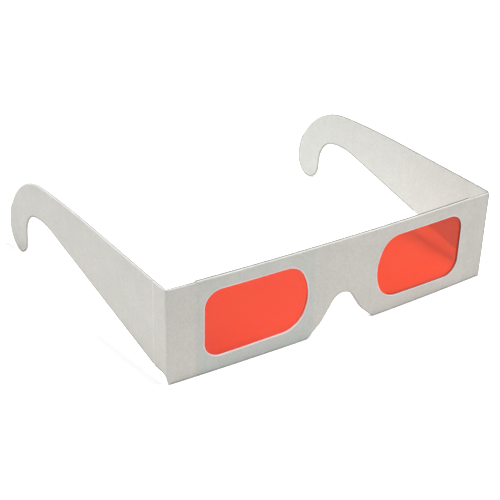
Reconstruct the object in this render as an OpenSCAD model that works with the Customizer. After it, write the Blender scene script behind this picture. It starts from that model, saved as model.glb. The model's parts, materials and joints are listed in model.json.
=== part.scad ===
// Folding viewing glasses cut from white board, with red film in both windows.
//
// One outer blank makes the front and both side arms. It is creased twice on each side: at the fold
// beside the front, and again one strip further on, where the arm steps over the thicker middle when
// the glasses lie folded. A second ply, cut with the same windows and nose notch, is bonded behind
// the front, and the film lies between the two plies.
//
// Frame: X runs across the front, +X to the wearer's left. The wearer looks along -Y, and +Z is up.
// X = 0 and Y = 0 are the middle of the outline seen from above, and Z = 0 is the lowest point, which
// is the tip of the ear hooks.

/* [Front] */
// Width of the front over its two folds
front_w = 148; // [130:1:165]
// Height of the front
front_h = 38; // [34:0.5:44]
// How far the middle of the front stands ahead of its ends
bow = 2; // [0.5:0.1:5]
// Thickness of each ply of board
ply = 0.6; // [0.4:0.05:0.9]

/* [Windows] */
// Distance from the middle of the front to a window
window_in = 16.1; // [15:0.1:18]
// Distance from a window to the fold beside it
window_end = 14.7; // [8:0.1:20]
// Distance from a window to the upper edge of the front
window_over = 5.2; // [4:0.1:7]
// Distance from a window to the lower edge of the front, beside the nose
window_under = 6.2; // [5:0.1:8]
// Radius of the two corners away from the nose
window_r_out = 6.6; // [3:0.1:8]
// Radius of the upper corner beside the nose
window_r_top = 8.8; // [7:0.1:10.5]
// Radius of the lower corner beside the nose
window_r_low = 10.4; // [7:0.1:12.5]
// Radius of the bowed side between those two corners, as a share of the window's height
window_side = 0.69; // [0.6:0.01:1]
// How far the lower edge falls away from the nose, degrees
window_fall = 1.1; // [0:0.1:3]

/* [Nose notch] */
// Height of the notch
notch_h = 15.4; // [12:0.1:18]
// Radius of the rounded top
notch_r = 5.5; // [4:0.1:7]
// Slope of the sides under the rounded top, degrees
notch_steep = 57; // [50:1:65]
// Length of the steep side
notch_side = 7.2; // [5:0.1:8]
// Slope of the sides near the lower edge, degrees
notch_shallow = 42; // [36:1:48]
// Radius where the two slopes meet
notch_knee_r = 12; // [4:0.5:20]
// Radius of the corners at the lower edge
notch_toe_r = 5; // [1:0.1:6]

/* [Film and backing] */
// Thickness of the film
film_t = 0.13; // [0.08:0.01:0.25]
// How far the film runs past a window towards the nose
film_lap_nose = 2.9; // [1.5:0.1:5]
// How far the film runs past a window towards the fold
film_lap_out = 2.4; // [1.5:0.1:5]
// How far the backing runs past the film
backing_lap = 0.8; // [0.5:0.1:2]
// Clearance on each face of the film and of the bonded layer
bond_gap = 0.02; // [0.01:0.005:0.05]
// Clearance between the edges of the film and the bonded layer
film_gap = 0.1; // [0.05:0.05:0.3]

/* [Folds and side strips] */
// Inner radius of the folds
fold_r = 0.3; // [0.2:0.05:0.6]
// Length of the strip between the fold and the second crease
strip_w = 7.5; // [6:0.1:9]
// Height of the strip's lower edge above the lower edge of the front
strip_low = 3.7; // [3:0.1:5]
// Distance from the fold to the middle of the rounded relief under the strip
relief_x = 2.3; // [1:0.1:2.8]
// Width of the pressed groove at the second crease
groove_w = 0.5; // [0.3:0.05:0.8]
// Depth of the pressed groove
groove_d = 0.25; // [0.1:0.05:0.35]
// Clearance between the strip and its neighbours
crease_gap = 0.02; // [0.01:0.01:0.05]
// How far the second crease is bent at rest, degrees
crease_bend = 1.45; // [0.5:0.05:4]

/* [Side arms] */
// Length of an arm from its fold to the back of its hook
reach = 132.3; // [120:0.1:150]
// How far each arm leans outward at rest, degrees
splay = 1.4; // [0:0.1:6]
// Radius of the long gentle fall of the top edge
brow_r = 540; // [400:10:700]
// Turn of the long gentle fall, degrees
brow_angle = 4.5; // [3:0.1:6]
// Radius of the top of the hook
crown_r = 42; // [38:0.5:46]
// Turn of the top of the hook, degrees
crown_angle = 55; // [50:1:60]
// Radius where the hook turns upright at the back
heel_r = 23.5; // [18:0.5:28]
// Radius of the round tip
tip_r = 8.5; // [7:0.1:9]
// Turn of the round tip, degrees
tip_angle = 174.5; // [170:0.5:178]
// Straight rise on the inside of the hook
tip_rise = 4.6; // [3:0.1:6]
// Radius of the arch inside the hook
arch_r = 13.5; // [12:0.1:15]
// Turn of the arch, degrees
arch_angle = 70; // [64:1:74]
// Radius where the arch runs out into the lower edge
throat_r = 36.5; // [25:0.5:45]
// Turn where the arch runs out, degrees
throat_angle = 26.5; // [22:0.5:30]

/* [Hidden] */

board_white = [0.86, 0.85, 0.82];
bond_clear = [0.93, 0.92, 0.86];
film_red = [0.98, 0.3, 0.22, 0.75];

// Largest turn and largest length of one straight piece of a curve
facet_angle = 5;
facet_length = 6;
// Segments of the large circles that the bowed layers are cut from, and of the folds
bow_fn = 720;
fold_fn = 48;
// Length that a cutting shape runs past what it cuts
past = 5;

// The front is bowed about an upright line far behind it
half_w = front_w / 2;
bow_radius = (half_w * half_w + bow * bow) / (2 * bow);
bow_y = bow_radius - bow;
inner_radius = bow_radius - ply;
film_radius = inner_radius - bond_gap;
backing_radius = film_radius - film_t - bond_gap;

// How far the windows, the film and the backing reach from the middle of the front
window_out = half_w - window_end;
film_in = window_in - film_lap_nose;
film_out = window_out + film_lap_out;
backing_half = film_out + backing_lap;

// Each fold turns about an upright line just inside the board
fold_x = half_w - ply - fold_r;
fold_turn = asin(fold_x / (inner_radius - fold_r));
fold_y = bow_y - (inner_radius - fold_r) * cos(fold_turn);
arm_angle = 90 - splay;
strip_angle = arm_angle - crease_bend;
fold_bend = strip_angle - fold_turn;

// Where the strip starts, and the line that the second crease turns about
strip_start = [fold_x, fold_y] + fold_r * [sin(strip_angle), -cos(strip_angle)];
crease_at = strip_start + strip_w * [cos(strip_angle), sin(strip_angle)];

// A point turned about the origin
function turned(v, a) = [v.x * cos(a) - v.y * sin(a), v.x * sin(a) + v.y * cos(a)];

// Straight pieces that one curve is drawn with
function pieces(r, t) = ceil(max(abs(t) / facet_angle, r * abs(t) * PI / 180 / facet_length));

// Points along a path that starts at p with heading h. Each move is [radius, turn], clockwise when
// the turn is positive, or [0, length] for a straight.
function walk(p, h, moves, i = 0) =
    i == len(moves) ? [p] :
    let (r = moves[i][0], t = moves[i][1])
    r == 0 ? concat([p], walk(p + t * [cos(h), sin(h)], h, moves, i + 1)) :
    let (c = p + sign(t) * r * [sin(h), -cos(h)], n = pieces(r, t))
    concat(
        [for (k = [0 : n - 1]) c + turned(p - c, -t * k / n)],
        walk(c + turned(p - c, -t), h - t, moves, i + 1)
    );

// How far a clockwise curve of radius r carries a path along X, and how far down, as its heading
// turns from one angle below the horizontal to another
function along(r, from, to) = r * (sin(to) - sin(from));
function down(r, from, to) = r * (cos(from) - cos(to));

// Headings, below the horizontal, where the parts of the hook's outer edge meet
crown_start = brow_angle;
heel_start = brow_angle + crown_angle;
heel_turn = 90 - heel_start;
top_run = reach - along(brow_r, 0, crown_start) - along(crown_r, crown_start, heel_start)
    - along(heel_r, heel_start, 90);
tip_z = front_h - down(brow_r, 0, crown_start) - down(crown_r, crown_start, heel_start)
    - down(heel_r, heel_start, 90);

// The part's own frame
lowest = min(0, tip_z - tip_r);
depth_back = crease_at.y + (reach - strip_w) * sin(arm_angle);
mid_y = (depth_back - bow) / 2;

// Outline of one arm and its strip, laid flat: X from the fold, Y up from the front's lower edge
arm_moves = [
    [0, top_run],
    [brow_r, brow_angle],
    [crown_r, crown_angle],
    [heel_r, heel_turn],
    [tip_r, tip_angle],
    [0, tip_rise],
    [arch_r, -arch_angle],
    [throat_r, -throat_angle]
];
arm_outline = concat(
    walk([0, front_h], 0, arm_moves),
    [[strip_w, strip_low]],
    walk([relief_x, strip_low], 180, [[strip_low, -asin(relief_x / strip_low)]])
);

// Outline of half the notch, from the middle of its top down to the lower edge
notch_rise = notch_h - down(notch_r, 0, notch_steep) - notch_side * sin(notch_steep)
    + down(notch_knee_r, notch_steep, notch_shallow) - down(notch_toe_r, 0, notch_shallow);
notch_moves = [
    [notch_r, notch_steep],
    [0, notch_side],
    [notch_knee_r, notch_shallow - notch_steep],
    [0, notch_rise / sin(notch_shallow)],
    [notch_toe_r, -notch_shallow]
];
notch_outline = concat(walk([0, notch_h], 0, notch_moves), [[0, 0]]);

// Outline of one window, from the upper end of its straight side away from the nose. The side
// beside the nose turns by side_up above its middle and by side_low below it.
window_w = window_out - window_in;
window_h = front_h - window_over - window_under;
window_r_side = window_side * window_h;
side_up = asin((window_h / 2 - window_r_top) / (window_r_side - window_r_top));
side_low = asin((window_h / 2 - window_r_low * cos(window_fall)) / (window_r_side - window_r_low));
top_edge = window_w - window_r_out - window_r_top - down(window_r_side - window_r_top, 0, side_up);
low_edge = (window_w - down(window_r_side, 0, side_low) - along(window_r_low, window_fall, 90 - side_low)
    - window_r_out * (1 + sin(window_fall))) / cos(window_fall);
window_moves = [
    [window_r_out, -90],
    [0, top_edge],
    [window_r_top, side_up - 90],
    [window_r_side, -side_up - side_low],
    [window_r_low, side_low + window_fall - 90],
    [0, low_edge],
    [window_r_out, -90 - window_fall]
];
window_outline = walk([window_out, front_h - window_over - window_r_out], 90, window_moves);

module both_sides() {
    children();
    mirror([1, 0]) children();
}

module notch_shape() {
    both_sides() polygon(notch_outline);
    translate([-half_w, -past]) square([front_w, past]);
}

// The board of the front out to half its length, without its windows
module plain_shape(half) {
    difference() {
        translate([-half, 0]) square([2 * half, front_h]);
        notch_shape();
    }
}

// The same with its windows
module framed_shape(half) {
    difference() {
        plain_shape(half);
        both_sides() polygon(window_outline);
    }
}

// One film, cut off by the same notch as the board
module film_shape(grow = 0) {
    intersection() {
        plain_shape(half_w);
        translate([film_in - grow, 0]) square([film_out - film_in + 2 * grow, front_h]);
    }
}

// Stands a flat outline up as a bowed layer, from radius r inward by t
module bowed(r, t) {
    intersection() {
        translate([0, bow_y, -past]) difference() {
            cylinder(r = r, h = front_h + 2 * past, $fn = bow_fn);
            translate([0, 0, -past]) cylinder(r = r - t, h = front_h + 4 * past, $fn = bow_fn);
        }
        translate([0, bow + past, 0]) rotate([90, 0, 0]) linear_extrude(2 * bow + 2 * past) children();
    }
}

// Keeps what lies between the two folds, each end square to the bowed board
module between_folds() {
    far = bow_radius + past;
    intersection() {
        children();
        translate([0, bow_y, -past]) linear_extrude(front_h + 2 * past) polygon([
            [0, 0],
            far * [-sin(fold_turn), -cos(fold_turn)],
            far * [sin(fold_turn), -cos(fold_turn)]
        ]);
    }
}

// Stands a flat outline up as one panel that starts at p and runs at the given angle from +X
module panel(p, angle) {
    translate([p.x, p.y, 0]) rotate([0, 0, angle]) rotate([90, 0, 0]) linear_extrude(ply) children();
}

// The pressed groove at the second crease, on the outer face of a panel
module groove(p, angle) {
    translate([p.x, p.y, 0]) rotate([0, 0, angle]) translate([0, 0, -past])
        linear_extrude(front_h + 2 * past) polygon([
            [-groove_w / 2, -ply - groove_d],
            [-groove_w / 2, -ply],
            [0, groove_d - ply],
            [groove_w / 2, -ply],
            [groove_w / 2, -ply - groove_d]
        ]);
}

// Moves everything into the part's own frame
module placed() {
    translate([0, -mid_y, -lowest]) children();
}

module front_panel() {
    color(board_white) placed() between_folds() bowed(bow_radius, ply) framed_shape(half_w);
}

module backing_panel() {
    color(board_white) placed() bowed(backing_radius, ply) framed_shape(backing_half);
}

module bond_layer() {
    color(bond_clear) placed() bowed(film_radius, film_t) difference() {
        plain_shape(backing_half);
        both_sides() film_shape(film_gap);
    }
}

module left_film() {
    color(film_red) placed() bowed(film_radius, film_t) film_shape();
}

module right_film() {
    mirror([1, 0, 0]) left_film();
}

// The board bent round the fold. Its lower end slopes up from the front to the relief.
module left_fold() {
    rise = sqrt(strip_low * strip_low - relief_x * relief_x);
    slope = atan(rise / (sqrt(2) * (fold_r + ply / 2)));
    color(board_white) placed() translate([fold_x, fold_y, 0]) difference() {
        rotate([0, 0, fold_turn - 90]) rotate_extrude(angle = fold_bend, $fn = fold_fn)
            translate([fold_r, 0]) square([ply, front_h]);
        translate([0, 0, rise / 2]) rotate([0, 0, 45]) rotate([0, -slope, 0])
            translate([-front_h, -front_h, -2 * front_h]) cube(2 * front_h);
    }
}

module right_fold() {
    mirror([1, 0, 0]) left_fold();
}

// The strip between the two creases
module left_strip() {
    color(board_white) placed() difference() {
        panel(strip_start, strip_angle) intersection() {
            polygon(arm_outline);
            translate([crease_gap, 0]) square([strip_w - 1.5 * crease_gap, front_h]);
        }
        groove(crease_at, strip_angle);
    }
}

module right_strip() {
    mirror([1, 0, 0]) left_strip();
}

// The arm with its ear hook
module left_arm() {
    arm_start = crease_at - strip_w * [cos(arm_angle), sin(arm_angle)];
    color(board_white) placed() difference() {
        panel(arm_start, arm_angle) intersection() {
            polygon(arm_outline);
            translate([strip_w + crease_gap / 2, lowest - past]) square([reach, front_h - lowest + past]);
        }
        groove(crease_at, arm_angle);
    }
}

module right_arm() {
    mirror([1, 0, 0]) left_arm();
}

front_panel();
backing_panel();
bond_layer();
right_film();
left_film();
right_fold();
left_fold();
right_strip();
left_strip();
right_arm();
left_arm();
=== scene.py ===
import json
from math import radians

import bmesh
import bpy
from mathutils import Euler, Matrix, Vector, noise


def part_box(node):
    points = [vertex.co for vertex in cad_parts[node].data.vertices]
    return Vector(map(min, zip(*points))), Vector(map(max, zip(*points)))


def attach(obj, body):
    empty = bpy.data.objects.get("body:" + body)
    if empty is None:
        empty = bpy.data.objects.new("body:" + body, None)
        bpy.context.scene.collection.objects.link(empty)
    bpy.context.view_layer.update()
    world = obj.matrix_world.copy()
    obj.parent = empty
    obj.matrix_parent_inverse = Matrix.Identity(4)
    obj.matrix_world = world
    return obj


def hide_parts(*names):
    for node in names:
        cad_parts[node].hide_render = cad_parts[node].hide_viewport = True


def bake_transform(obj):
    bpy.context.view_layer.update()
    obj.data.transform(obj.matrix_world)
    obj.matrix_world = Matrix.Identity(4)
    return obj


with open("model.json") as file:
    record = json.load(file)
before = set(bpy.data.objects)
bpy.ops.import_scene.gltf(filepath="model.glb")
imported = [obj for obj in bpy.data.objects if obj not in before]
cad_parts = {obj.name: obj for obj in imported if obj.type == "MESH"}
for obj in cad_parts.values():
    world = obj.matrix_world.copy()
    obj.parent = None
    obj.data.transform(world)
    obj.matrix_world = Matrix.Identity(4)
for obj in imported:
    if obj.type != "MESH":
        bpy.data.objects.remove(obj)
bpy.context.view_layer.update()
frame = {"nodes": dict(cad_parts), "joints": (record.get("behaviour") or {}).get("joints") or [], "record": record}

MM = 0.001
scene = bpy.context.scene
scene.view_settings.view_transform = "Standard"

# Sizes of the glasses that the looks depend on
HALF_WIDTH = 74 * MM
BOW = 2 * MM
FRONT_HEIGHT = 38 * MM
BOARD = 0.6 * MM
FILM_IN, FILM_OUT, BACKING_END = 13.2 * MM, 61.7 * MM, 62.5 * MM
STRIP = 7.5 * MM
WINDOW_IN, WINDOW_OUT, WINDOW_LOW, WINDOW_HEIGHT = 16.1 * MM, 59.3 * MM, 6.2 * MM, 26.6 * MM
BOW_RADIUS = (HALF_WIDTH ** 2 + BOW ** 2) / (2 * BOW)

# How far the windows' lower edges fall toward the front's ends, and the slack in telling their edges
WINDOW_FALL, WINDOW_SLACK = 1.5 * MM, 0.5 * MM
# How near to a fold a cut edge goes on into the next sheet, on the front and on a strip
FRONT_TO_FOLD, STRIP_TO_FOLD = 2.5 * BOARD, 0.4 * MM
# Half the width of the second crease's pressed groove
CREASE = 0.6 * MM
# How far back of the second crease the inside of an arm goes without the painted shade on its rims
CLEAN_INSIDE = 35 * MM
# Widths of the rims along the cut edges, painted pale as a highlight on top and grey as shade elsewhere
FRONT_RIM, ARM_RIM = 0.4 * MM, 0.65 * MM

# Widths of the shoulders of a cut edge, from crisp to drawn in by the die
CRISP, NEAT, CUT = 0.03 * MM, 0.05 * MM, 0.1 * MM
SOFT, RUBBED, DRAWN_IN = 0.15 * MM, 0.2 * MM, 0.3 * MM
# Points that are closer than this are one
HAIR = 0.002 * MM

# How far the film's waves stand out, how wide one is in millimetres, and the grid on which they bend it
WAVE_HEIGHT, WAVE_WIDTH_MM, WAVE_GRID = 0.25 * MM, 16, 2.5 * MM
# How far short of the board's upper and lower edges the layers between the plies end
LAYER_INSET = 0.5 * MM

# Cosines for how a face lies to a direction: square to it, mostly toward it, tilted to it, or leaning
SQUARE, TOWARD, TILTED, LEANING = 0.99, 0.5, 0.3, 0.2

# The glasses stand on the front's lower edge and on the tips of the ear hooks, which are lower
LOWER_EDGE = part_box("front_panel")[0]
TIP = Vector((0, 58 * MM, 0))
UPPER_Z = LOWER_EDGE.z + FRONT_HEIGHT
BOW_CENTRE_Y = LOWER_EDGE.y + BOW_RADIUS


def linear(code):
    """An sRGB hex colour as linear RGBA."""
    parts = [int(code[i : i + 2], 16) / 255 for i in (1, 3, 5)]
    return [p / 12.92 if p <= 0.04045 else ((p + 0.055) / 1.055) ** 2.4 for p in parts] + [1]


def per(size_mm):
    """The texture scale that makes one patch of a pattern this many millimetres wide."""
    return 1 / (size_mm * MM)


def add(tree, kind, inputs, **settings):
    """Adds a shader node, sets its properties, and sets each input to a value or links it to a socket."""
    made = tree.nodes.new(kind)
    for name, value in settings.items():
        setattr(made, name, value)
    for name, value in inputs.items():
        if isinstance(value, bpy.types.NodeSocket):
            tree.links.new(value, made.inputs[name])
        else:
            made.inputs[name].default_value = value
    return made


def blank_material(name):
    mat = bpy.data.materials.new(name)
    mat.use_nodes = True
    mat.node_tree.nodes.clear()
    return mat, mat.node_tree


def over_film(tree, where, colour, grain):
    """What shows on the board of the film and the backing behind it: a faint step at their ends, and a
    slightly cooler tone over the film on the wearer's right, most of all near the lower edge. The cooler tone
    is painted light, which cancels the red glow that the film casts on the board's lower part."""
    across = add(tree, "ShaderNodeSeparateXYZ", {"Vector": where}).outputs
    out = add(tree, "ShaderNodeMath", {0: across["X"]}, operation="ABSOLUTE").outputs[0]

    def step(at, width):
        """0 nearer the middle than a line that stands at a distance from it, and 1 beyond."""
        return add(
            tree,
            "ShaderNodeMapRange",
            {"Value": out, "From Min": at - width / 2, "From Max": at + width / 2},
            interpolation_type="SMOOTHSTEP",
        ).outputs["Result"]

    film_ends = {0: step(FILM_IN, 2 * MM), 1: step(FILM_OUT, 2 * MM)}
    film = add(tree, "ShaderNodeMath", film_ends, operation="SUBTRACT").outputs[0]
    lower = add(
        tree,
        "ShaderNodeMapRange",
        {"Value": across["Z"], "From Min": UPPER_Z, "From Max": LOWER_EDGE.z, "To Min": 0.35},
    ).outputs["Result"]
    right_half = add(tree, "ShaderNodeMath", {0: across["X"], 1: 0.0}, operation="LESS_THAN").outputs[0]
    # The cooler tone is painted light, strongest toward the lower edge
    cooling = film
    for factor in (lower, right_half):
        cooling = add(tree, "ShaderNodeMath", {0: cooling, 1: factor}, operation="MULTIPLY").outputs[0]
    cooler = add(
        tree,
        "ShaderNodeMix",
        {"Factor": cooling, 6: (1, 1, 1, 1), 7: linear("#F1FBFD")},
        data_type="RGBA",
    ).outputs[2]
    toned = add(
        tree,
        "ShaderNodeMix",
        {"Factor": 1.0, 6: colour, 7: cooler},
        data_type="RGBA",
        blend_type="MULTIPLY",
    ).outputs[2]
    # The film lifts the board by 4 times the tooth's height, and past the backing it sinks by 6 times
    height = grain
    for layer, share in ((film, 4.0), (step(BACKING_END, 2.4 * MM), -6.0)):
        parts = {0: layer, 1: share, 2: height}
        height = add(tree, "ShaderNodeMath", parts, operation="MULTIPLY_ADD").outputs[0]
    return toned, height


def white_board(name, light, dark, tooth_height, layered=False):
    """Solid bleached paperboard, calendered: matt white, faintly cloudy where the fibres lie denser, with
    a fine paper tooth. Where it is layered it lies over the film and the backing, whose edges just show."""
    mat, tree = blank_material(name)
    where = add(tree, "ShaderNodeTexCoord", {}).outputs["Object"]
    cloud = add(tree, "ShaderNodeTexNoise", {"Vector": where, "Scale": per(7), "Detail": 3.0})
    # Real tooth is about 0.1 mm wide. It is drawn 0.8 mm wide, so that it shows at all.
    tooth = add(tree, "ShaderNodeTexNoise", {"Vector": where, "Scale": per(0.8), "Detail": 2.0})
    # The fibres run mostly upright, so faint streaks do too
    upright = add(tree, "ShaderNodeVectorMath", {0: where, 1: (1, 1, 0.08)}, operation="MULTIPLY")
    streak_parts = {"Vector": upright.outputs["Vector"], "Scale": per(2.5), "Detail": 1.0}
    streak = add(tree, "ShaderNodeTexNoise", streak_parts)
    grain = 0.0
    for pattern, share in ((cloud, 0.25), (streak, 0.1), (tooth, 0.65)):
        parts = {0: pattern.outputs["Fac"], 1: share, 2: grain}
        grain = add(tree, "ShaderNodeMath", parts, operation="MULTIPLY_ADD").outputs[0]
    # The sum of the patterns keeps near its middle, so that stretch of it is spread over both tones
    ease = add(tree, "ShaderNodeMapRange", {"Value": grain, "From Min": 0.35, "From Max": 0.65}, clamp=True)
    tones = {"Factor": ease.outputs["Result"], 6: linear(dark), 7: linear(light)}
    colour = add(tree, "ShaderNodeMix", tones, data_type="RGBA").outputs[2]
    height = grain
    if layered:
        colour, height = over_film(tree, where, colour, grain)
    bump = add(tree, "ShaderNodeBump", {"Height": height, "Strength": 1.0, "Distance": tooth_height})
    board = add(
        tree,
        "ShaderNodeBsdfPrincipled",
        {
            "Base Color": colour,
            "Roughness": 0.62,
            "IOR": 1.5,
            "Specular IOR Level": 0.35,
            "Normal": bump.outputs["Normal"],
        },
    )
    add(tree, "ShaderNodeOutputMaterial", {"Surface": board.outputs[0]})
    return mat


def red_film(name, dye):
    """Dyed polyester film: clear deep orange red with a glossy skin. Lamps reach through it."""
    mat, tree = blank_material(name)
    where = add(tree, "ShaderNodeTexCoord", {}).outputs["Object"]
    waves = add(tree, "ShaderNodeTexNoise", {"Vector": where, "Scale": per(9), "Detail": 1.0})
    relief = {"Height": waves.outputs["Fac"], "Strength": 1.0, "Distance": 0.05 * MM}
    bump = add(tree, "ShaderNodeBump", relief)
    film = add(
        tree,
        "ShaderNodeBsdfPrincipled",
        {
            "Base Color": linear(dye),
            "Roughness": 0.06,
            "IOR": 1.35,
            "Transmission Weight": 1.0,
            "Normal": bump.outputs["Normal"],
        },
    )
    # A lamp's light passes straight on, dimmed and warmed
    through = add(tree, "ShaderNodeBsdfTransparent", {"Color": linear("#6E5850")})
    path = add(tree, "ShaderNodeLightPath", {})
    parts = {0: path.outputs["Is Shadow Ray"], 1: film.outputs[0], 2: through.outputs[0]}
    both = add(tree, "ShaderNodeMixShader", parts)
    add(tree, "ShaderNodeOutputMaterial", {"Surface": both.outputs[0]})
    return mat


def dried_paste_shade():
    """Water based paste, dried between the plies: a thin dull grey line where it reaches an edge, whose grey is
    painted shade for the seam's shadow.
    """
    mat, tree = blank_material("dried_paste_shade")
    where = add(tree, "ShaderNodeTexCoord", {}).outputs["Object"]
    patches = add(tree, "ShaderNodeTexNoise", {"Vector": where, "Scale": per(1.5), "Detail": 2.0})
    tones = {"Factor": patches.outputs["Fac"], 6: linear("#77746D"), 7: linear("#94918A")}
    tone = add(tree, "ShaderNodeMix", tones, data_type="RGBA")
    paste = add(tree, "ShaderNodeBsdfPrincipled", {"Base Color": tone.outputs[2], "Roughness": 0.8})
    add(tree, "ShaderNodeOutputMaterial", {"Surface": paste.outputs[0]})
    return mat


FACE_TONES = "#EAE8E1", "#DFDDD6"
plain_board = white_board("calendered_paperboard", *FACE_TONES, 0.03 * MM)
layered_board = white_board("calendered_paperboard_over_film", *FACE_TONES, 0.03 * MM, layered=True)
# The die leaves the core's fibres bare on the cut walls, which are painted a shade darker than the face as
# shade against the light that the upper walls catch. The die presses the board's skin smooth beside some
# cuts, and the pale there is a painted highlight. The grey rims and edges are painted shade. The back is
# painted a little lighter and cooler, for the light the inner sides catch and against the film's red glow.
cut_board = white_board("die_cut_paperboard", "#DDDBD6", "#D2D0CB", 0.08 * MM)
pressed_highlight_board = white_board("die_pressed_paperboard_painted_highlight", "#FBFAF8", "#F8F7F4", 0.01 * MM)
rim_shade_board = white_board("paperboard_rim_painted_shade", "#BCBAB5", "#B1AFAA", 0.03 * MM)
painted_shade_board = white_board("paperboard_edge_painted_shade", "#6E6C68", "#62605C", 0.05 * MM)
back_painted_light_board = white_board("paperboard_back_painted_light", "#EDEEE8", "#E2E3DD", 0.04 * MM)
film_finishes = {
    "right": red_film("dyed_polyester_film", "#E14329"),
    "left": red_film("dyed_polyester_film_deeper", "#DD3D1A"),
}
paste_shade_finish = dried_paste_shade()

# The places of a sheet's finishes in its list of materials: its own face first, then what all share
FACE, WALL, PRESSED_HIGHLIGHT, RIM, PAINTED_SHADE, PASTE_SHADE, BACK = range(7)
SHARED = cut_board, pressed_highlight_board, rim_shade_board, painted_shade_board, paste_shade_finish, back_painted_light_board


def merged(node):
    """A CAD node's mesh as a bmesh, with its loose triangles joined and its flat faces made whole."""
    form = bmesh.new()
    form.from_mesh(frame["nodes"][node].data)
    bmesh.ops.remove_doubles(form, verts=form.verts, dist=HAIR)
    bmesh.ops.dissolve_limit(form, angle_limit=radians(0.1), verts=form.verts, edges=form.edges)
    return form


def split(form, at, across):
    """Cuts the faces of a bmesh along a plane, and keeps both halves."""
    whole = form.verts[:] + form.edges[:] + form.faces[:]
    bmesh.ops.bisect_plane(form, geom=whole, dist=HAIR / 2, plane_co=at, plane_no=across)


def place(name, form, materials, node, sharp=10):
    """Makes a piece of a bmesh that stands for one CAD node, and shades its gentle curves smooth."""
    for face in form.faces:
        face.smooth = True
    mesh = bpy.data.meshes.new(name)
    form.to_mesh(mesh)
    form.free()
    mesh.set_sharp_from_angle(angle=radians(sharp))
    for mat in materials:
        mesh.materials.append(mat)
    piece = bpy.data.objects.new(name, mesh)
    scene.collection.objects.link(piece)
    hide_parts(node)
    return piece


def body_of(node):
    return next(b for b, nodes in frame["record"]["behaviour"]["bodies"].items() if node in nodes)


def axis_of(joint):
    """Where a joint's axis stands."""
    return Vector(next(j["pos_m"] for j in frame["joints"] if j["name"] == joint))


def middle(edge):
    return (edge.verts[0].co + edge.verts[1].co) / 2


def rims(form, sides, width, finish):
    """Marks off a rim along the edges of a sheet's sides, in the finish for the way each edge turns."""
    made = bmesh.ops.inset_region(
        form, faces=sides, thickness=width, use_boundary=True, use_even_offset=True
    )
    for face in made["faces"]:
        around = [other.normal for e in face.edges for other in e.link_faces]
        way = min(around, key=lambda normal: abs(normal.dot(face.normal)))
        face.material_index = finish(face.calc_center_median(), way)


def cut_edges(form, across, rounding, finish):
    """Rounds the edges of a sheet of board and finishes the faces between its two sides. The direction
    through the sheet is across(point). The width of an edge's shoulder is rounding(point, upper), or 0
    where the sheet goes on into the next one. The finish of a face is finish(point, way it turns)."""

    def flat(face):
        return abs(face.normal.dot(across(face.calc_center_median()))) > TOWARD

    width_of = form.edges.layers.float.new("width")
    widths = set()
    for e in form.edges:
        if len(e.link_faces) == 2 and flat(e.link_faces[0]) != flat(e.link_faces[1]):
            e[width_of] = rounding(middle(e), max(face.normal.z for face in e.link_faces) > TOWARD)
            widths.add(e[width_of])
    for width in sorted(widths - {0}):
        # A clamp narrows every shoulder of a width to suit the shortest edge, so the wide ones go without
        bmesh.ops.bevel(
            form,
            geom=[e for e in form.edges if e[width_of] == width],
            offset=width,
            segments=2,
            profile=0.5,
            affect="EDGES",
            material=-1,
            clamp_overlap=width < (CUT + SOFT) / 2,
        )
    bmesh.ops.dissolve_degenerate(form, dist=HAIR, edges=form.edges)
    for face in form.faces:
        centre = face.calc_center_median()
        if abs(face.normal.dot(across(centre))) < SQUARE:
            face.material_index = finish(centre, face.normal)


def from_bow(point):
    """The direction through the bowed front at a point."""
    return Vector((point.x, point.y - BOW_CENTRE_Y, 0)).normalized()


def depth(point):
    """How far a point lies behind the front's outer face."""
    return BOW_RADIUS - Vector((point.x, point.y - BOW_CENTRE_Y)).length


def at_window(point):
    """Whether a point lies at a window's edge."""
    up = point.z - LOWER_EDGE.z - WINDOW_LOW
    return (
        WINDOW_IN - WINDOW_SLACK < abs(point.x) < WINDOW_OUT + WINDOW_SLACK
        and -WINDOW_FALL < up < WINDOW_HEIGHT + WINDOW_SLACK
    )


def at_fold(point):
    return abs(point.x) > HALF_WIDTH - FRONT_TO_FOLD


def past_backing(point):
    return abs(point.x) > BACKING_END


def by_paste(point):
    """Whether a point lies within a quarter of the board's thickness from the outer blank's back."""
    return abs(depth(point) - BOARD) < BOARD / 4


def front_rim(point, way):
    """The rims at the windows and on top of the single board near the folds are pressed by the die and painted
    pale as a highlight, and the lower rims are painted grey as shade."""
    upper = way.z > TOWARD
    if at_window(point) or upper and past_backing(point):
        return PRESSED_HIGHLIGHT
    return FACE if upper or at_fold(point) else RIM


def front_rounding(point, upper):
    """The upper edge is neat ahead and crisp behind, and rubbed where the board is single."""
    if at_fold(point):
        return 0
    ahead = depth(point) < BOARD / 2
    if upper and ahead and not at_window(point):
        return RUBBED if past_backing(point) else NEAT
    if upper or at_window(point):
        return CUT if ahead else CRISP
    return SOFT


def front_finish(point, way):
    """The left window's cut is painted darker than the right one's with the paste finish, as shade where board
    meets film.
    """
    if at_window(point):
        return PASTE_SHADE if point.x > 0 and depth(point) > BOARD / 5 else PRESSED_HIGHLIGHT
    # The top of the single board is painted pale in front as a highlight, and grey behind as shade
    if way.z > LEANING and past_backing(point):
        return PRESSED_HIGHLIGHT if way.dot(from_bow(point)) > LEANING else PAINTED_SHADE
    # Walls at the seam between the plies take the paste finish, whose grey is painted shade for the seam
    return PASTE_SHADE if by_paste(point) and way.z < TOWARD else WALL


def backing_rounding(point, upper):
    """The die went into the backing's windows from behind, which drew their rear edges in."""
    return DRAWN_IN if at_window(point) and depth(point) > 1.5 * BOARD else CUT


def backing_finish(point, way):
    # The window walls are painted pale against their shade, the seam takes the paste's painted shade, and the top
    # wall is painted grey as the shade behind the outer ply
    if at_window(point):
        return PRESSED_HIGHLIGHT
    if by_paste(point):
        return PASTE_SHADE
    return PAINTED_SHADE if way.z > TOWARD else WALL


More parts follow.
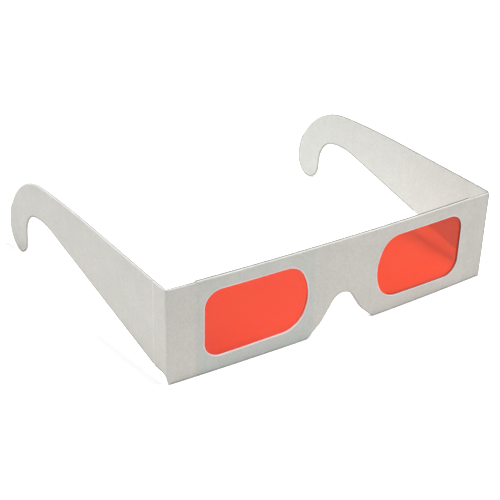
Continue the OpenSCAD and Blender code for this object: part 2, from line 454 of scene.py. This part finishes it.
def set_back(form):
    """Sets a layer between the plies back from their upper and lower edges."""
    near = 0.05 * MM
    for v in form.verts:
        if v.co.z > UPPER_Z - near:
            v.co.z -= LAYER_INSET
        elif v.co.z < LOWER_EDGE.z + near:
            v.co.z += LAYER_INSET


def front_layers():
    """The front of the outer blank, the backing behind it, and the paste between them."""
    form = merged("front_panel")
    for sign in (-1, 1):
        split(form, (sign * BACKING_END, 0, 0), (1, 0, 0))
    ahead = [f for f in form.faces if f.normal.dot(from_bow(f.calc_center_median())) > SQUARE]
    rims(form, ahead, FRONT_RIM, front_rim)
    cut_edges(form, from_bow, front_rounding, front_finish)
    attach(place("front_board", form, [layered_board, *SHARED], "front_panel"), "front")

    form = merged("backing_panel")
    cut_edges(form, from_bow, backing_rounding, backing_finish)
    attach(place("backing_board", form, [layered_board, *SHARED], "backing_panel"), "front")

    form = merged("bond_layer")
    set_back(form)
    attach(place("dried_paste_shade", form, [paste_shade_finish], "bond_layer"), "front")


def film_sheet(side, sign):
    """A window's film. It comes off a roll, so it lies a little wavy where no board holds it."""
    form = merged(side + "_film")
    low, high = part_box(side + "_film")
    for along in (Vector((1, 0, 0)), Vector((0, 0, 1))):
        for k in range(1, int((high - low).dot(along) / WAVE_GRID)):
            split(form, low + along * k * WAVE_GRID, along)
    for v in form.verts:
        out = (abs(v.co.x) - WINDOW_IN) / (WINDOW_OUT - WINDOW_IN)
        up = (v.co.z - LOWER_EDGE.z - WINDOW_LOW) / WINDOW_HEIGHT
        # The waves die away toward the window's edges
        free = max(0, min(1, 8 * out * (1 - out))) * max(0, min(1, 6 * up * (1 - up)))
        wave = noise.noise(Vector((v.co.x, sign, v.co.z)) * per(WAVE_WIDTH_MM))
        v.co += from_bow(v.co) * WAVE_HEIGHT * free * wave
    set_back(form)
    piece = place(side + "_film_sheet", form, [film_finishes[side]], side + "_film")
    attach(piece, "front")


def flat_board(side, sign, part):
    """An arm or a strip. It is flat, so it has one direction through it, outward from the head."""
    node = f"{side}_{part}"
    form = merged(node)
    outward = max(form.faces, key=lambda f: f.calc_area()).normal.copy()
    outward *= 1 if outward.x * sign > 0 else -1
    back = Vector((-outward.y, outward.x, 0)) * sign
    crease_at = axis_of(side + "_crease_hinge")
    reach = [outward.dot(v.co) for v in form.verts]
    core = (min(reach) + max(reach)) / 2
    # The right side's upper outer shoulder is rubbed rounder than the left one's
    upper_shoulder = RUBBED if side == "right" else SOFT

    def beyond(point):
        """How far behind the second crease a point lies."""
        return back.dot(point - crease_at)

    def free(point):
        """Whether a point lies away from where the sheet goes on into the next one."""
        way = beyond(point)
        return way > CREASE if part == "arm" else STRIP_TO_FOLD - STRIP < way < -CREASE

    def rim(point, way):
        # Upper rims are painted pale as a highlight, and the lower and side rims grey as shade
        if not free(point):
            return FACE
        return PRESSED_HIGHLIGHT if way.z > TOWARD else RIM

    def rounding(point, upper):
        if not free(point):
            return 0
        return upper_shoulder if upper and outward.dot(point) > core else CUT

    def finish(point, way):
        """The crease and the upper outer shoulder are pressed and painted pale as a highlight, which also lifts
        the crease's own shade, and the rest of the upper edge is painted grey as shade."""
        outer = way.dot(outward) > LEANING
        if abs(beyond(point)) < CREASE or way.z > LEANING and outer:
            return PRESSED_HIGHLIGHT
        return PAINTED_SHADE if way.z > TILTED and not outer else WALL

    split(form, crease_at + back * CLEAN_INSIDE, back)
    rims(form, [f for f in form.faces if abs(f.normal.dot(outward)) > SQUARE], ARM_RIM, rim)
    # The inner sides take the back's finish, painted a little lighter and cooler for the light they catch and
    # against the film's red glow; far back the rims keep their painted shade
    for face in form.faces:
        clean = face.material_index != RIM or beyond(face.calc_center_median()) < CLEAN_INSIDE
        if face.normal.dot(outward) < -SQUARE and clean:
            face.material_index = BACK
    cut_edges(form, lambda point: outward, rounding, finish)
    piece = place(node + "_board", form, [plain_board, *SHARED], node)
    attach(piece, body_of(node))


def fold_board(side, sign):
    """The bent board of a fold. The left one's corner is painted grey on its outer side, as shade where it turns
    away from the light.
    """
    form = merged(side + "_fold")
    for face in form.faces:
        if side == "left" and face.normal.x > 0.1:
            face.material_index = PAINTED_SHADE
    piece = place(f"{side}_fold_board", form, [plain_board, *SHARED], side + "_fold", sharp=30)
    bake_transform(piece)


front_layers()
for side, sign in (("right", -1), ("left", 1)):
    film_sheet(side, sign)
    for part in ("arm", "strip"):
        flat_board(side, sign, part)
    fold_board(side, sign)


# How white the table is by itself: to the camera beside the glasses, and to gloss and through film
OWN_WHITE, PASSED_WHITE = 0.5, 0.03
# The softboxes light only the middle of the table, so its own white takes over between these distances
LIT_TO, WHITE_FROM = 180 * MM, 600 * MM
# The front's contact shadow, painted into the table, fades out between these places in the table's own Y,
# which starts under the hooks' tips
CONTACT_TO, CONTACT_END = -100 * MM, -60 * MM


def kinds_of_ray(tree):
    """1 for the camera's own rays, for those that reach it by gloss or through film, and for both."""
    path = add(tree, "ShaderNodeLightPath", {}).outputs
    direct = path["Is Camera Ray"]
    parts = {0: path["Is Glossy Ray"], 1: path["Is Transmission Ray"]}
    passed_on = add(tree, "ShaderNodeMath", parts, operation="MAXIMUM").outputs[0]
    either = add(tree, "ShaderNodeMath", {0: direct, 1: passed_on}, operation="MAXIMUM").outputs[0]
    return direct, passed_on, either


def white_table():
    """A matt white table. It shows white, and keeps the shadows that lie close to the glasses."""
    mat, tree = blank_material("white_table")
    direct, passed_on, either = kinds_of_ray(tree)
    mirrored = add(tree, "ShaderNodeMath", {0: passed_on, 1: PASSED_WHITE}, operation="MULTIPLY")
    parts = {0: direct, 1: OWN_WHITE, 2: mirrored.outputs[0]}
    near = add(tree, "ShaderNodeMath", parts, operation="MULTIPLY_ADD").outputs[0]
    where = add(tree, "ShaderNodeTexCoord", {}).outputs["Object"]
    distance = add(tree, "ShaderNodeVectorMath", {0: where}, operation="LENGTH")
    far = add(
        tree,
        "ShaderNodeMapRange",
        {"Value": distance.outputs["Value"], "From Min": LIT_TO, "From Max": WHITE_FROM},
        interpolation_type="SMOOTHSTEP",
    )
    parts = {0: either, 1: far.outputs["Result"], 2: near}
    level = add(tree, "ShaderNodeMath", parts, operation="MULTIPLY_ADD").outputs[0]
    # Where the front's long edge touches the table, little light gets in between: a contact shadow painted into
    # the table's colour and its glow
    touch = add(tree, "ShaderNodeAmbientOcclusion", {"Distance": 0.8 * MM})
    back = add(tree, "ShaderNodeSeparateXYZ", {"Vector": where})
    open_to = add(
        tree,
        "ShaderNodeMapRange",
        {
            "Value": back.outputs["Y"],
            "From Min": CONTACT_TO,
            "From Max": CONTACT_END,
            "To Min": touch.outputs["AO"],
        },
    ).outputs["Result"]
    dimmed = add(tree, "ShaderNodeMath", {0: level, 1: open_to}, operation="MULTIPLY")
    glow = add(tree, "ShaderNodeEmission", {"Color": (1, 1, 1, 1), "Strength": dimmed.outputs[0]})
    tones = {"Factor": open_to, 6: linear("#505050"), 7: linear("#EDEDED")}
    shade = add(tree, "ShaderNodeMix", tones, data_type="RGBA")
    matt = add(tree, "ShaderNodeBsdfDiffuse", {"Color": shade.outputs[2]})
    sum_of = add(tree, "ShaderNodeAddShader", {0: glow.outputs[0], 1: matt.outputs[0]})
    add(tree, "ShaderNodeOutputMaterial", {"Surface": sum_of.outputs[0]})
    return mat


# The table slopes a little in this frame, because the tips of the hooks stand lower than the front
form = bmesh.new()
bmesh.ops.create_grid(form, x_segments=1, y_segments=1, size=3)
mesh = bpy.data.meshes.new("table")
form.to_mesh(mesh)
form.free()
mesh.materials.append(white_table())
floor = bpy.data.objects.new("table", mesh)
scene.collection.objects.link(floor)
floor.rotation_euler = (-(LOWER_EDGE.z - TIP.z) / (TIP.y - LOWER_EDGE.y), 0, 0)
floor.location = (0, TIP.y, -0.02 * MM)

# A pale room, which lights the glasses faintly and shows white behind them
world = bpy.data.worlds.new("pale_room")
scene.world = world
world.use_nodes = True
tree = world.node_tree
tree.nodes.clear()
room = add(tree, "ShaderNodeBackground", {"Color": (1, 1, 1, 1), "Strength": 0.16})
backdrop = add(tree, "ShaderNodeBackground", {"Color": (1, 1, 1, 1), "Strength": 1.0})
direct, passed_on, either = kinds_of_ray(tree)
shown = add(tree, "ShaderNodeMixShader", {0: either, 1: room.outputs[0], 2: backdrop.outputs[0]})
add(tree, "ShaderNodeOutputWorld", {"Surface": shown.outputs[0]})


def softbox(name, where, size, power):
    """A rectangular lamp that is turned to the middle of the glasses."""
    lamp = bpy.data.lights.new(name, "AREA")
    lamp.shape = "RECTANGLE"
    lamp.size, lamp.size_y = size
    lamp.energy = power
    made = bpy.data.objects.new(name, lamp)
    made.location = where
    made.rotation_euler = (-Vector(where)).to_track_quat("-Z", "Y").to_euler()
    scene.collection.objects.link(made)


# Soft studio light: a small softbox overhead, and a large one far off, behind the right arm
softbox("softbox_overhead", where=(0.06, -0.1, 0.5), size=(0.12, 0.2), power=2.35)
softbox("softbox_side", where=(-1.6, 0.7, 1.8), size=(1.2, 1.2), power=25.5)

# The camera stands ahead of the right arm and looks down on the glasses, turned by these degrees
LOOK_DOWN, LOOK_ASIDE, ROLL = 26.733, 33.834, 1.467
lens = bpy.data.cameras.new("camera")
lens.sensor_width = 36
lens.lens = 75.2
lens.shift_x = 0.0012
lens.shift_y = -0.0745
camera = bpy.data.objects.new("camera", lens)
camera.location = (-0.21576, -0.32542, 0.22065)
aim = Euler((radians(90 - LOOK_DOWN), 0, radians(-LOOK_ASIDE))).to_matrix()
camera.rotation_euler = (aim @ Matrix.Rotation(radians(ROLL), 3, "Z")).to_euler()
scene.collection.objects.link(camera)
scene.camera = camera
